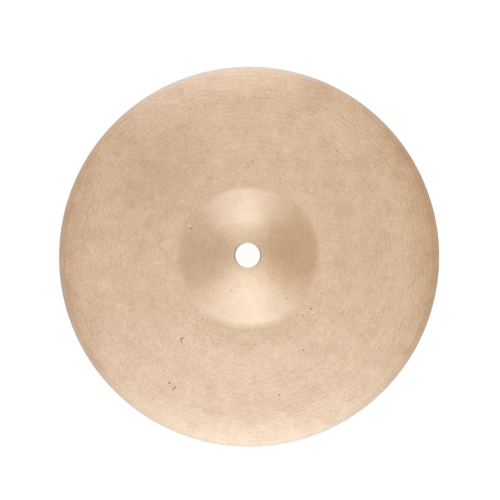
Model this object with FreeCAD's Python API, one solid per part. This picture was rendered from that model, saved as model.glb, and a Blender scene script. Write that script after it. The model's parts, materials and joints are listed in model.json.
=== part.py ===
import FreeCAD, Part
import math
import os

# Splash cymbal, formed from one round blank of bell bronze. A domed bell with a clear hole runs
# out through a hollow shoulder into a shallow bow, and the bow rolls down to a thin, eased rim.
# The origin is on the axis, level with the circle that the rim rests on, and +Z is up.
# Lengths are in millimetres. Walls are measured upright, in line with the axis.

# Sizes across
cymbal_diameter = 203.2
bell_diameter = 79.0
hole_diameter = 13.0

# Heights of the top face
bell_height = 12.0
bow_height = 8.1

# The tangents of a face meet at five corners. The face leaves the axis level, turns down the
# bell's flank, eases halfway down it, and is level again at the foot. It leads into the bow's
# straight run and rolls down to the rim's bevel. The first three corners lie at shares of the
# bell's radius and height, and the last two at shares of the bow's width, each from its near
# end, and of its height.
crown_corner_share = 0.25
flank_corner_share = 0.74
flank_height_share = 0.24
foot_corner_share = 0.94
lead_corner_share = 0.125
roll_corner_share = 0.165
roll_height_share = 0.45

# A narrow bevel, a little steeper than the end of the roll, is turned all round the rim.
rim_bevel_width = 3.3
rim_bevel_drop = 1.45

# The wall is thickest at the hole and is turned thinner all the way out to the rim.
wall_at_hole = 1.1
wall_at_shoulder = 1.0
wall_at_roll = 0.75
wall_at_rim = 0.6

# Edges: the hole is countersunk on top and only deburred below, and the rim is eased.
hole_countersink = 0.4
hole_deburr = 0.15
rim_easing = 0.15

# Radii of the bore, the rim and the corners between them
cymbal_radius = cymbal_diameter / 2
bell_radius = bell_diameter / 2
hole_radius = hole_diameter / 2
rim_radius = cymbal_radius - rim_easing
bow_width = rim_radius - bell_radius
crown_corner_radius = bell_radius * crown_corner_share
flank_corner_radius = bell_radius * flank_corner_share
foot_corner_radius = bell_radius * foot_corner_share
lead_corner_radius = bell_radius + bow_width * lead_corner_share
roll_corner_radius = rim_radius - bow_width * roll_corner_share
roll_end_radius = rim_radius - rim_bevel_width

# Heights of the top face, counted up from the resting circle
rim_top = wall_at_rim
roll_top = rim_top + bow_height * roll_height_share
shoulder_top = rim_top + bow_height
crown_top = shoulder_top + bell_height


def point(radius, height):
    """A point of the half section, which lies in the XZ plane."""
    return FreeCAD.Vector(radius, 0, height)


def line(start, end):
    return Part.LineSegment(start, end).toShape()


def slope(start, end):
    """The slope from start out to end: an angle, positive where the way out falls."""
    return math.atan2(start.z - end.z, end.x - start.x)


def toward(start, end, distance):
    """The point that lies at a distance from start on the way to end."""
    return start + (end - start).normalize() * distance


def tangent_arc(start, end, start_slope):
    """The arc that leaves start at start_slope and ends at end.

    It turns as far past its chord as the chord turns from its start, so it is known from its two
    ends and the slope of one of them.
    """
    chord = end - start
    chord_slope = slope(start, end)
    rise = chord.Length / 2 * math.tan((chord_slope - start_slope) / 2)
    outward_normal = point(math.sin(chord_slope), math.cos(chord_slope))
    middle = (start + end) / 2 + outward_normal * rise
    return Part.Arc(start, middle, end).toShape()


def face_section(crown, shoulder, roll, rim, mouth_radius):
    """One face, from the hole's mouth to the rim, and the points at its two ends.

    The heights are those of the crown, the shoulder, the roll's corner and the rim. Each corner
    is rounded by an arc that reaches as far along one of its tangents as along the other.
    """
    flank = shoulder + (crown - shoulder) * flank_height_share
    crown_corner = point(crown_corner_radius, crown)
    flank_corner = point(flank_corner_radius, flank)
    foot_corner = point(foot_corner_radius, shoulder)
    shoulder_end = point(bell_radius, shoulder)
    lead_corner = point(lead_corner_radius, shoulder)
    roll_corner = point(roll_corner_radius, roll)
    roll_end = point(roll_end_radius, rim + rim_bevel_drop)
    rim_end = point(rim_radius, rim)
    upper_slope = slope(crown_corner, flank_corner)
    lower_slope = slope(flank_corner, foot_corner)
    run_slope = slope(lead_corner, roll_corner)

    # The crown is part of a ball, which the hole's mouth cuts.
    ball_radius = crown_corner_radius / math.tan(upper_slope / 2)
    mouth_slope = math.asin(mouth_radius / ball_radius)
    mouth = point(mouth_radius, crown - ball_radius * (1 - math.cos(mouth_slope)))
    crown_end = toward(crown_corner, flank_corner, crown_corner_radius)

    foot_reach = foot_corner.distanceToPoint(shoulder_end)
    flank_end = toward(foot_corner, flank_corner, foot_reach)
    flank_reach = flank_corner.distanceToPoint(flank_end)
    flank_start = toward(flank_corner, crown_corner, flank_reach)

    lead_end = toward(lead_corner, roll_corner, lead_corner.distanceToPoint(shoulder_end))
    roll_start = toward(roll_corner, lead_corner, roll_corner.distanceToPoint(roll_end))
    edges = [
        tangent_arc(mouth, crown_end, mouth_slope),
        line(crown_end, flank_start),
        tangent_arc(flank_start, flank_end, upper_slope),
        tangent_arc(flank_end, shoulder_end, lower_slope),
        tangent_arc(shoulder_end, lead_end, 0),
        line(lead_end, roll_start),
        tangent_arc(roll_start, roll_end, run_slope),
        line(roll_end, rim_end),
    ]
    return edges, mouth, rim_end


def cymbal():
    """The whole cymbal: the half section, turned once round the axis."""
    top_face, top_mouth, top_rim = face_section(
        crown_top, shoulder_top, roll_top, rim_top, hole_radius + hole_countersink
    )
    under_face, under_mouth, under_rim = face_section(
        crown_top - wall_at_hole,
        shoulder_top - wall_at_shoulder,
        roll_top - wall_at_roll,
        rim_top - wall_at_rim,
        hole_radius + hole_deburr,
    )
    edge_top = point(cymbal_radius, rim_top - rim_easing)
    edge_foot = point(cymbal_radius, rim_easing)
    edge = [line(top_rim, edge_top), line(edge_top, edge_foot), line(edge_foot, under_rim)]
    bore_top = point(hole_radius, top_mouth.z - hole_countersink)
    bore_foot = point(hole_radius, under_mouth.z + hole_deburr)
    bore = [
        line(under_mouth, bore_foot),
        line(bore_foot, bore_top),
        line(bore_top, top_mouth),
    ]
    outline = Part.sortEdges(top_face + edge + under_face + bore)[0]
    section = Part.Face(Part.Wire(outline))
    return section.revolve(point(0, 0), point(0, 1), 360)


os.makedirs("parts", exist_ok=True)
body = cymbal()
body.exportStep("parts/cymbal.step")
print("solid", body.ShapeType, "valid", body.isValid(), "volume", round(body.Volume, 1))
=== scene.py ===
import json
import math
import random

import bmesh
import bpy
from mathutils import Matrix, Vector
from mathutils.kdtree import KDTree


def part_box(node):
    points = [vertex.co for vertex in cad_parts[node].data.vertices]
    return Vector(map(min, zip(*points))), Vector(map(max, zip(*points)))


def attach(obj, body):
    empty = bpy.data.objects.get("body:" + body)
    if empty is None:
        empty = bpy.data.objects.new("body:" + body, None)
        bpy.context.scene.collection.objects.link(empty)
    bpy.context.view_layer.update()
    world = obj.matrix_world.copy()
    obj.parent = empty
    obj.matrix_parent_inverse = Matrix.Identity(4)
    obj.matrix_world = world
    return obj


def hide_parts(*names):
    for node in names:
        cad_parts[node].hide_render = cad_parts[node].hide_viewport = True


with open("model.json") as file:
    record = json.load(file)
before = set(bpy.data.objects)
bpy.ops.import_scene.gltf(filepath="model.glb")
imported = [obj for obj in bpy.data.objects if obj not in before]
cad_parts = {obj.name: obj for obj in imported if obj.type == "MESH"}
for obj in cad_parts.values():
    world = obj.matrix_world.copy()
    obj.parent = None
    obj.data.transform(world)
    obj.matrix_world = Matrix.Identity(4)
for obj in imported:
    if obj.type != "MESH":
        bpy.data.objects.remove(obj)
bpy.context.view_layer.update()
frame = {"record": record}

# The cymbal is one round blank of cast bell bronze, pressed into bell and bow, hammered over the
# bow and lathed on both faces. The hole is drilled and countersunk and the rim is eased.
# Its half section is drawn as two faces, closed at rim and bore, and turned once about the axis.
lowest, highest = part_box("cymbal")
cymbal_radius = (highest.x - lowest.x) / 2
hole_radius = frame["record"]["mounts"][0]["dims"]["r_mm"] / 1000
bell_radius = 0.0395
bell_height = 0.012
bow_height = 0.0081
wall_at_hole = 0.0011
wall_at_shoulder = 0.0010
wall_at_roll = 0.00075
wall_at_rim = 0.0006
hole_countersink = 0.0004
hole_deburr = 0.00015
rim_easing = 0.00015
rim_bevel_width = 0.0033
rim_bevel_drop = 0.00145

# The tangents of a face meet at corners: where the crown turns down, low on the bell's flank, at
# its foot, where the bow's straight run begins, and where it rolls down to the rim's bevel. The
# first three lie at shares of the bell, and the last two at shares of the bow, from its ends.
crown_corner_share = 0.25
flank_corner_share = 0.74
flank_height_share = 0.24
foot_corner_share = 0.94
lead_corner_share = 0.125
roll_corner_share = 0.165
roll_height_share = 0.45
rim_radius = cymbal_radius - rim_easing
bow_width = rim_radius - bell_radius
crown_corner_radius = bell_radius * crown_corner_share
flank_corner_radius = bell_radius * flank_corner_share
foot_corner_radius = bell_radius * foot_corner_share
lead_corner_radius = bell_radius + bow_width * lead_corner_share
roll_corner_radius = rim_radius - bow_width * roll_corner_share
roll_end_radius = rim_radius - rim_bevel_width
roll_top = wall_at_rim + bow_height * roll_height_share
shoulder_top = wall_at_rim + bow_height
crown_top = shoulder_top + bell_height

# The mesh is fine enough for the hammer marks: one ring of faces each 0.85 mm, one degree wide.
ring_spacing = 0.00085
faces_round = 360


def draw_face(section, crown, shoulder, roll, rim, mouth_radius):
    """Draws one face of the half section, outwards, and returns its ends at the mouth and the rim.

    A slope is the angle below level. Each corner is rounded by an arc with the same reach along
    both of its tangents. An arc whose turn is below zero is hollow, with its centre above it.
    """
    corners = [
        (0, crown),
        (crown_corner_radius, crown),
        (flank_corner_radius, shoulder + (crown - shoulder) * flank_height_share),
        (foot_corner_radius, shoulder),
        (lead_corner_radius, shoulder),
        (roll_corner_radius, roll),
        (roll_end_radius, rim + rim_bevel_drop),
    ]
    # The sides are crown, upper flank, lower flank, shoulder, the bow's run and the roll's end.
    sides = list(zip(corners, corners[1:]))
    slopes = [math.atan2(start[1] - end[1], end[0] - start[0]) for start, end in sides]
    lengths = [math.dist(start, end) for start, end in sides]
    foot_reach = bell_radius - foot_corner_radius
    flank_reach = lengths[2] - foot_reach
    reaches = [crown_corner_radius, flank_reach, foot_reach, lengths[3] - foot_reach, lengths[5]]

    ball_radius = reaches[0] / math.tan(slopes[1] / 2)
    slope = math.asin(mouth_radius / ball_radius)
    mouth = section.verts.new((mouth_radius, 0, crown - ball_radius * (1 - math.cos(slope))))
    tip = mouth
    for corner, reach in enumerate(reaches):
        half_turn = (slopes[corner + 1] - slopes[corner]) / 2
        arc_radius = reach / math.tan(half_turn)
        turn = slopes[corner + 1] - slope
        upward_normal = Vector((math.sin(slope), 0, math.cos(slope)))
        spun = bmesh.ops.spin(
            section,
            geom=[tip],
            cent=tip.co - upward_normal * arc_radius,
            axis=(0, 1, 0),
            angle=turn,
            steps=round(arc_radius * turn / ring_spacing),
        )
        tip = next(part for part in spun["geom_last"] if isinstance(part, bmesh.types.BMVert))
        slope += turn
        run = lengths[corner + 1] - sum(reaches[corner : corner + 2])
        steps = round(run / ring_spacing)
        for _ in range(steps):
            tip = bmesh.ops.extrude_vert_indiv(section, verts=[tip])["verts"][0]
            tip.co += Vector((math.cos(slope), 0, -math.sin(slope))) * run / steps
    steps = round(rim_bevel_width / ring_spacing)
    for _ in range(steps):
        tip = bmesh.ops.extrude_vert_indiv(section, verts=[tip])["verts"][0]
        tip.co += Vector((rim_bevel_width, 0, -rim_bevel_drop)) / steps
    return mouth, tip


def draw_line(section, start, stops, end):
    """Draws straight lines in the half section from one vertex, by way of stops, to another."""
    tip = start
    for radius, height in stops:
        drawn = bmesh.ops.extrude_vert_indiv(section, verts=[tip])
        tip = drawn["verts"][0]
        tip.co = (radius, 0, height)
    section.edges.new((tip, end))


cymbal_mesh = bmesh.new()
top_mouth, top_rim = draw_face(
    cymbal_mesh,
    crown_top,
    shoulder_top,
    roll_top,
    wall_at_rim,
    hole_radius + hole_countersink,
)
under_mouth, under_rim = draw_face(
    cymbal_mesh,
    crown_top - wall_at_hole,
    shoulder_top - wall_at_shoulder,
    roll_top - wall_at_roll,
    0,
    hole_radius + hole_deburr,
)
edge_stops = [(cymbal_radius, wall_at_rim - rim_easing), (cymbal_radius, rim_easing)]
bore_stops = [
    (hole_radius, under_mouth.co.z + hole_deburr),
    (hole_radius, top_mouth.co.z - hole_countersink),
]
draw_line(cymbal_mesh, top_rim, edge_stops, under_rim)
draw_line(cymbal_mesh, under_mouth, bore_stops, top_mouth)
bmesh.ops.spin(
    cymbal_mesh,
    geom=cymbal_mesh.verts[:] + cymbal_mesh.edges[:],
    cent=(0, 0, 0),
    axis=(0, 0, 1),
    angle=2 * math.pi,
    steps=faces_round,
    use_merge=True,
)
bmesh.ops.recalc_face_normals(cymbal_mesh, faces=cymbal_mesh.faces)

# The rings of hammer blows that the lathe didn't cut away: shallow dishes all over the bow, the
# same in both faces. The pressed bell has none above its foot. They have their real size and
# depth, and wander a little along and across their rings, as blows by hand do.
blow_reach = 0.0038
blow_depth = 0.000022
blow_spacing = 0.0066
wander_along_share = 0.35
wander_across_share = 0.4
reach_shares = (0.75, 1.25)
depth_shares = (0.2, 1)
random.seed(8)
flat_tree = KDTree(len(cymbal_mesh.verts))
cymbal_mesh.verts.ensure_lookup_table()
for vertex in cymbal_mesh.verts:
    flat_tree.insert((vertex.co.x, vertex.co.y, 0), vertex.index)
flat_tree.balance()
blow_ring = bell_radius + blow_reach
while blow_ring < cymbal_radius - blow_reach:
    blows = round(2 * math.pi * blow_ring / blow_spacing)
    start_angle = random.uniform(0, math.pi)
    for blow in range(blows):
        turn = blow + random.uniform(-wander_along_share, wander_along_share)
        angle = start_angle + turn * 2 * math.pi / blows
        outward = random.uniform(-wander_across_share, wander_across_share)
        distance = blow_ring + outward * blow_spacing
        centre = Vector((math.cos(angle), math.sin(angle), 0)) * distance
        reach = blow_reach * random.uniform(*reach_shares)
        depth = blow_depth * random.uniform(*depth_shares)
        for place, index, away in flat_tree.find_range(centre, reach):
            cymbal_mesh.verts[index].co.z -= depth * (1 - (away / reach) ** 2) ** 2
    blow_ring += blow_spacing

for face in cymbal_mesh.faces:
    face.smooth = True
sharpest_blend = math.radians(20)
for edge in cymbal_mesh.edges:
    edge.smooth = edge.calc_face_angle(0) < sharpest_blend

cymbal_data = bpy.data.meshes.new("cymbal_turned")
cymbal_mesh.to_mesh(cymbal_data)
cymbal_mesh.free()
cymbal = bpy.data.objects.new("cymbal_turned", cymbal_data)
bpy.context.scene.collection.objects.link(cymbal)


def linear(hex_colour):
    """The linear colour, with alpha, of an sRGB hex value."""
    shares = [int(hex_colour[place : place + 2], 16) / 255 for place in (1, 3, 5)]
    return [s / 12.92 if s <= 0.04045 else ((s + 0.055) / 1.055) ** 2.4 for s in shares] + [1]


def add_node(tree, kind, inputs=None, **settings):
    """Adds a node, sets its settings and fills its inputs with values or other nodes' outputs."""
    node = tree.nodes.new("ShaderNode" + kind)
    for name, value in settings.items():
        setattr(node, name, value)
    for place, value in (inputs or {}).items():
        if isinstance(value, bpy.types.NodeSocket):
            tree.links.new(value, node.inputs[place])
        else:
            node.inputs[place].default_value = value
    return node


# Bell bronze, four parts copper to one of tin, lathed and clear lacquered. The cast metal has a
# fine grain under a cloudy mottle, and the tool leaves faint rings and short streaks that follow
# its turn. Grain and streaks are drawn a little coarse, so that they show.
grain_size = 0.0009
mottle_size = 0.009
ring_width = 0.0014
streak_width = 0.0009
bronze = bpy.data.materials.new("lathed_bell_bronze")
bronze.use_nodes = True
tree = bronze.node_tree
tree.nodes.clear()

place = add_node(tree, "TexCoord").outputs["Object"]
across = add_node(tree, "VectorMath", {0: place, 1: (1, 1, 0)}, operation="MULTIPLY").outputs[0]
radius = add_node(tree, "VectorMath", {0: across}, operation="LENGTH").outputs["Value"]
grain = add_node(
    tree, "TexNoise", {"Vector": place, "Scale": 1 / grain_size, "Detail": 1}
).outputs["Fac"]
mottle = add_node(
    tree, "TexNoise", {"Vector": place, "Scale": 1 / mottle_size, "Detail": 3, "Roughness": 0.65}
).outputs["Fac"]
rings = add_node(
    tree, "TexNoise", {"W": radius, "Scale": 1 / ring_width, "Detail": 2}, noise_dimensions="1D"
).outputs["Fac"]

# Streaks are noise in cylinder coordinates. Each is a twentieth as long as it is far out, which is
# 3.5 mm halfway across the bow.
streaks_per_radius = 20
streak_step = add_node(
    tree, "Math", {0: radius, 1: 1 / streak_width}, operation="MULTIPLY"
).outputs[0]
streak_ring = add_node(tree, "CombineXYZ", {"Z": streak_step}).outputs[0]
heading = add_node(tree, "VectorMath", {0: across}, operation="NORMALIZE").outputs[0]
streak_place = add_node(
    tree,
    "VectorMath",
    {0: heading, 1: (streaks_per_radius, streaks_per_radius, 0), 2: streak_ring},
    operation="MULTIPLY_ADD",
).outputs[0]
streaks = add_node(
    tree, "TexNoise", {"Vector": streak_place, "Scale": 1, "Detail": 1}
).outputs["Fac"]

# Out towards the rim the tool has left even grooves as well.
groove_spacing = 0.0023
grooves_start = 0.06
grooves_full = 0.09
groove_phase = add_node(
    tree, "Math", {0: radius, 1: 2 * math.pi / groove_spacing}, operation="MULTIPLY"
).outputs[0]
groove = add_node(tree, "Math", {0: groove_phase}, operation="SINE").outputs[0]
groove_share = add_node(
    tree, "MapRange", {"Value": radius, "From Min": grooves_start, "From Max": grooves_full}
).outputs["Result"]
grooves = add_node(tree, "Math", {0: groove, 1: groove_share}, operation="MULTIPLY").outputs[0]


def soft_spots(spots):
    """How far each point is inside soft round spots, from 0 at their edges to 1 at their centres.

    Each spot is a place across the cymbal, to the right and to the back, and a reach, all in
    millimetres.
    """
    share = 0
    for spot_x, spot_y, spot_reach in spots:
        spot_centre = (spot_x / 1000, spot_y / 1000, 0)
        away = add_node(
            tree, "VectorMath", {0: across, 1: spot_centre}, operation="DISTANCE"
        ).outputs["Value"]
        spot = add_node(
            tree,
            "MapRange",
            {"Value": away, "From Max": spot_reach / 1000, "To Min": 1, "To Max": 0},
            interpolation_type="SMOOTHSTEP",
        ).outputs["Result"]
        share = add_node(tree, "Math", {0: spot, 1: share}, operation="MAXIMUM").outputs[0]
    return share


# The small pits that show in the metal, their bottoms painted a dark brown, and painted highlights
# on the lips beside a few of them.
pits = soft_spots(
    (
        (-30.4, 14.6, 0.75),
        (-35.6, -43.8, 0.7),
        (-34.6, -43.6, 0.6),
        (-35.6, -44.8, 0.7),
        (-35.3, -45.7, 0.5),
        (-39.2, -69.7, 0.8),
        (-40.0, -70.7, 0.7),
        (-42.1, -67.3, 0.8),
        (29.0, -50.0, 0.7),
        (16.5, -73.7, 0.7),
        (33.3, -27.9, 0.6),
        (29.3, -31.6, 0.5),
        (-8.8, -18.5, 0.5),
        (-24.4, -33.5, 0.5),
        (47.0, 55.9, 0.5),
        (2.3, 50.7, 0.5),
        (20.3, -22.6, 0.5),
        (20.3, -41.3, 0.5),
        (13.7, -9.0, 0.4),
        (-28.8, -45.5, 0.5),
    )
)
# Painted highlights: bright spots on the lips beside a few pits, where the photo's nicks catch the
# light.
painted_lip_highlights = soft_spots(
    (
        (-31.5, 16.2, 0.7),
        (-30.5, 15.7, 0.7),
        (3.1, -16.3, 0.5),
        (4.3, -16.8, 0.5),
        (-34.4, -44.7, 0.6),
        (-33.0, -43.5, 0.5),
    )
)

# The relief of all that, with how far each texture rises from the metal.
grain_rise = 0.000012
streak_rise = 0.000010
ring_rise = 0.000010
groove_rise = 0.000003
pit_depth = 0.0001
height = 0
for texture, rise in (
    (grain, grain_rise),
    (streaks, streak_rise),
    (rings, ring_rise),
    (grooves, groove_rise),
    (pits, -pit_depth),
):
    height = add_node(
        tree, "Math", {0: texture, 1: rise, 2: height}, operation="MULTIPLY_ADD"
    ).outputs[0]
relief = add_node(tree, "Bump", {"Height": height, "Distance": 1, "Strength": 1})

# Painted shade: the colour is made darker along the roll and on the bevel, none at the front and
# most at the back.
roll_shade_width = 0.005
roll_shade = 0.6
bevel_shade = 0.4
bevel_edge_blur = 0.0002
back_share = 2
painted_roll_shade = add_node(
    tree,
    "MapRange",
    {
        "Value": radius,
        "From Min": roll_end_radius - roll_shade_width,
        "From Max": roll_end_radius,
        "To Max": roll_shade,
    },
).outputs["Result"]
painted_bevel_shade = add_node(
    tree,
    "MapRange",
    {
        "Value": radius,
        "From Min": roll_end_radius - bevel_edge_blur,
        "From Max": roll_end_radius + bevel_edge_blur,
        "To Max": bevel_shade,
    },
).outputs["Result"]
painted_shade_bands = add_node(tree, "Math", {0: painted_roll_shade, 1: painted_bevel_shade}, operation="ADD").outputs[0]
toward_back = add_node(tree, "SeparateXYZ", {0: place}).outputs["Y"]
painted_shade_share = add_node(
    tree,
    "MapRange",
    {
        "Value": toward_back,
        "From Min": -cymbal_radius,
        "From Max": cymbal_radius,
        "To Max": back_share,
    },
).outputs["Result"]
painted_rim_shade = add_node(tree, "Math", {0: painted_shade_bands, 1: painted_shade_share}, operation="MULTIPLY").outputs[0]

# The same textures tint the metal, less on the pressed bell than on the hammered bow. Each has its
# weight, and they sway the tint to both sides of its middle.
bell_reach = 0.036
bow_start = 0.042
bell_texture_share = 0.8
bow_texture_share = 1.08
middle_tint = 0.5
cast_weights = ((grain, 1.25), (streaks, 0.5), (rings, 0.3), (mottle, 1.0))
# The rim weights add the lathe grooves and the painted shade along the roll and bevel.
rim_weights = ((grooves, 0.05), (painted_rim_shade, -0.2))
shade = -sum(weight for _, weight in cast_weights) / 2
for texture, weight in cast_weights:
    shade = add_node(
        tree, "Math", {0: texture, 1: weight, 2: shade}, operation="MULTIPLY_ADD"
    ).outputs[0]
coarseness = add_node(
    tree,
    "MapRange",
    {
        "Value": radius,
        "From Min": bell_reach,
        "From Max": bow_start,
        "To Min": bell_texture_share,
        "To Max": bow_texture_share,
    },
).outputs["Result"]
shade = add_node(
    tree, "Math", {0: shade, 1: coarseness, 2: middle_tint}, operation="MULTIPLY_ADD"
).outputs[0]
for texture, weight in rim_weights:
    shade = add_node(
        tree, "Math", {0: texture, 1: weight, 2: shade}, operation="MULTIPLY_ADD"
    ).outputs[0]
tint = add_node(tree, "ValToRGB", {"Fac": shade})
tint.color_ramp.elements[0].color = linear("#D6B397")
tint.color_ramp.elements[1].color = linear("#EFD5B6")

# Soft patches multiply the colour a little darker. Those at the rim, and those round the hole and
# in front of it, are painted shade, and the ones by the hole also make it a little yellower. One
# wide patch makes the bow darker and greyer at the back and left.
colour = tint.outputs["Color"]
for patch, paint in (
    ((-49, 46, 44), "#F4F1F0"),
    ((37, 90, 15), "#EEE9E7"),
    ((85, 53, 11), "#F4F1F0"),
    ((-80, -58, 12), "#FAF8F8"),
    ((0, -9, 17), "#FDFAF7"),
    ((18, -13, 14), "#FFFCF5"),
    ((-20, -17, 15), "#FFFCF6"),
):
    colour = add_node(
        tree,
        "Mix",
        {"Factor": soft_spots([patch]), "A": colour, "B": linear(paint)},
        data_type="RGBA",
        blend_type="MULTIPLY",
    ).outputs["Result"]

# At the rim the lacquer is worn away and the metal is dull and grey. In the hole's mouth, at the
# left and the right only, the colour is painted a darker brown: painted shade.
rim_wear_start = 0.0024
rim_wear_full = 0.0003
rim_wear_share = 0.42
mouth_shade_full = 0.0004
mouth_shade_end = 0.0008
mouth_shade_share = 0.75
rim_wear = add_node(
    tree,
    "MapRange",
    {
        "Value": radius,
        "From Min": cymbal_radius - rim_wear_start,
        "From Max": cymbal_radius - rim_wear_full,
        "To Max": rim_wear_share,
    },
).outputs["Result"]
# Painted shade in the hole's mouth, strongest at the left and the right.
mouth_painted_shade = add_node(
    tree,
    "MapRange",
    {
        "Value": radius,
        "From Min": hole_radius + mouth_shade_full,
        "From Max": hole_radius + mouth_shade_end,
        "To Min": mouth_shade_share,
        "To Max": 0,
    },
).outputs["Result"]
toward_side = add_node(tree, "SeparateXYZ", {0: heading}).outputs["X"]
both_sides = add_node(
    tree, "Math", {0: toward_side, 1: toward_side}, operation="MULTIPLY"
).outputs[0]
mouth_painted_shade = add_node(
    tree, "Math", {0: mouth_painted_shade, 1: both_sides}, operation="MULTIPLY"
).outputs[0]
# Mixed in turn: the rim's grey wear, the painted shade in the hole's mouth, the painted highlights
# beside pits and the pits' dark bottoms.
for share, paint in (
    (rim_wear, "#CAC7C0"),
    (mouth_painted_shade, "#9E8B79"),
    (painted_lip_highlights, "#FFF0DA"),
    (pits, "#6A431F"),
):
    colour = add_node(
        tree, "Mix", {"Factor": share, "A": colour, "B": linear(paint)}, data_type="RGBA"
    ).outputs["Result"]

# The satin is a little rougher where the grain is high. The edge tint keeps the bronze's colour
# where the metal is seen from low down.
grain_low = 0.3
grain_high = 0.7
smoothest = 0.44
roughest = 0.50
roughness = add_node(
    tree,
    "MapRange",
    {
        "Value": grain,
        "From Min": grain_low,
        "From Max": grain_high,
        "To Min": smoothest,
        "To Max": roughest,
    },
).outputs["Result"]
surface = add_node(
    tree,
    "BsdfPrincipled",
    {
        "Base Color": colour,
        "Metallic": 1,
        "Roughness": roughness,
        "Specular Tint": linear("#E2CDB8"),
        "Normal": relief.outputs["Normal"],
    },
)
add_node(tree, "OutputMaterial", {"Surface": surface.outputs["BSDF"]})
cymbal_data.materials.append(bronze)

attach(cymbal, "root")
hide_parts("cymbal")

# The floor is plain, white and level with the circle that the rim rests on. The camera and the
# metal see most of its white as a glow, so that it stays pale under the bell, and the rest of it
# takes the cymbal's shadow.
floor_reach = 30
floor_glow = 0.92
floor_grey = 0.15
floor_mesh = bmesh.new()
bmesh.ops.create_grid(floor_mesh, x_segments=1, y_segments=1, size=floor_reach)
floor_data = bpy.data.meshes.new("floor")
floor_mesh.to_mesh(floor_data)
floor_mesh.free()
floor = bpy.data.objects.new("floor", floor_data)
bpy.context.scene.collection.objects.link(floor)
floor_paint = bpy.data.materials.new("white_floor")
floor_paint.use_nodes = True
tree = floor_paint.node_tree
tree.nodes.clear()
seen_by = add_node(tree, "LightPath").outputs
seen = add_node(
    tree, "Math", {0: seen_by["Is Camera Ray"], 1: seen_by["Is Glossy Ray"]}, operation="MAXIMUM"
).outputs[0]
seen = add_node(
    tree, "Math", {0: seen, 1: seen_by["Is Transmission Ray"]}, operation="MAXIMUM"
).outputs[0]
strength = add_node(tree, "Math", {0: seen, 1: floor_glow}, operation="MULTIPLY").outputs[0]
glow = add_node(tree, "Emission", {"Color": (1, 1, 1, 1), "Strength": strength})
paint = add_node(tree, "BsdfDiffuse", {"Color": (floor_grey, floor_grey, floor_grey, 1)})
both = add_node(tree, "AddShader", {0: glow.outputs[0], 1: paint.outputs[0]})
add_node(tree, "OutputMaterial", {"Surface": both.outputs[0]})
floor_data.materials.append(floor_paint)

# The studio is white overhead and all round, and dims to a warm wall halfway up at the left and the
# right. The metal mirrors that as its darker wedges. X times Z is lowest halfway up at the left and
# highest halfway up at the right, so it spreads the walls.
left_wall_share = 0.01
white_share = 0.49
right_wall_share = 0.98
middle_share = 0.5
studio = bpy.data.worlds.new("studio")
studio.use_nodes = True
bpy.context.scene.world = studio
tree = studio.node_tree
tree.nodes.clear()
direction = add_node(tree, "TexCoord").outputs["Generated"]
parts = add_node(tree, "SeparateXYZ", {0: direction})
halfway_up = add_node(
    tree,
    "Math",
    {0: parts.outputs["X"], 1: parts.outputs["Z"], 2: middle_share},
    operation="MULTIPLY_ADD",
).outputs[0]
walls = add_node(tree, "ValToRGB", {"Fac": halfway_up})
walls.color_ramp.interpolation = "EASE"
walls.color_ramp.elements[0].position = left_wall_share
walls.color_ramp.elements[0].color = linear("#CEC2B4")
walls.color_ramp.elements[1].position = right_wall_share
walls.color_ramp.elements[1].color = linear("#C9B79E")
walls.color_ramp.elements.new(white_share).color = (1, 1, 1, 1)
backdrop = add_node(tree, "Background", {"Color": walls.outputs["Color"], "Strength": 1})
add_node(tree, "OutputWorld", {"Surface": backdrop.outputs[0]})

# A softbox hangs behind the cymbal and one in front of it, both a little bluer than the room. The
# metal mirrors them as its brighter wedges.
lamp_distance = 1.66
watts_per_area = 4


def hang_softbox(name, heading_deg, down_deg, width, length, brightness):
    """Hangs a softbox that faces the cymbal, down_deg from overhead towards heading_deg."""
    lamp = bpy.data.lights.new(name, "AREA")
    lamp.shape = "RECTANGLE"
    lamp.size = width
    lamp.size_y = length
    lamp.energy = brightness * watts_per_area * width * length
    lamp.color = linear("#BDE0FF")[:3]
    softbox = bpy.data.objects.new(name, lamp)
    bpy.context.scene.collection.objects.link(softbox)
    heading_angle = math.radians(heading_deg)
    down_angle = math.radians(down_deg)
    away = Vector(
        (
            math.sin(down_angle) * math.cos(heading_angle),
            math.sin(down_angle) * math.sin(heading_angle),
            math.cos(down_angle),
        )
    )
    softbox.location = away * lamp_distance
    softbox.rotation_mode = "QUATERNION"
    softbox.rotation_quaternion = away.to_track_quat("Z", "Y")


hang_softbox(
    "far_softbox", heading_deg=98, down_deg=60, width=1.6, length=0.9, brightness=1.07
)
hang_softbox(
    "near_softbox", heading_deg=-91, down_deg=48, width=2.3, length=2.0, brightness=0.80
)

# The camera is on a high arm, almost straight above, and leans two degrees to the near right. The
# lens is long, and the frame is the photograph's, with the rim as wide as it is there. The aim is
# the place in it where the cymbal's axis meets the floor.
image_size = 500
rim_width_px = 380.4
aim_x_px = 248.72
aim_y_px = 256.4
camera_distance = 1.2
lean = math.radians(2.2)
lean_heading = math.radians(-47)
lens_data = bpy.data.cameras.new("camera")
lens_data.lens = (
    lens_data.sensor_width * rim_width_px / image_size * camera_distance / (2 * cymbal_radius)
)
lens_data.shift_x = (image_size / 2 - aim_x_px) / image_size
lens_data.shift_y = (aim_y_px - image_size / 2) / image_size
camera = bpy.data.objects.new("camera", lens_data)
bpy.context.scene.collection.objects.link(camera)
back = Vector(
    (
        math.sin(lean) * math.cos(lean_heading),
        math.sin(lean) * math.sin(lean_heading),
        math.cos(lean),
    )
)
right = Vector((0, 1, 0)).cross(back).normalized()
camera.matrix_world = (
    Matrix.Translation(back * camera_distance)
    @ Matrix((right, back.cross(right), back)).transposed().to_4x4()
)
bpy.context.scene.camera = camera
bpy.context.scene.view_settings.view_transform = "Standard"
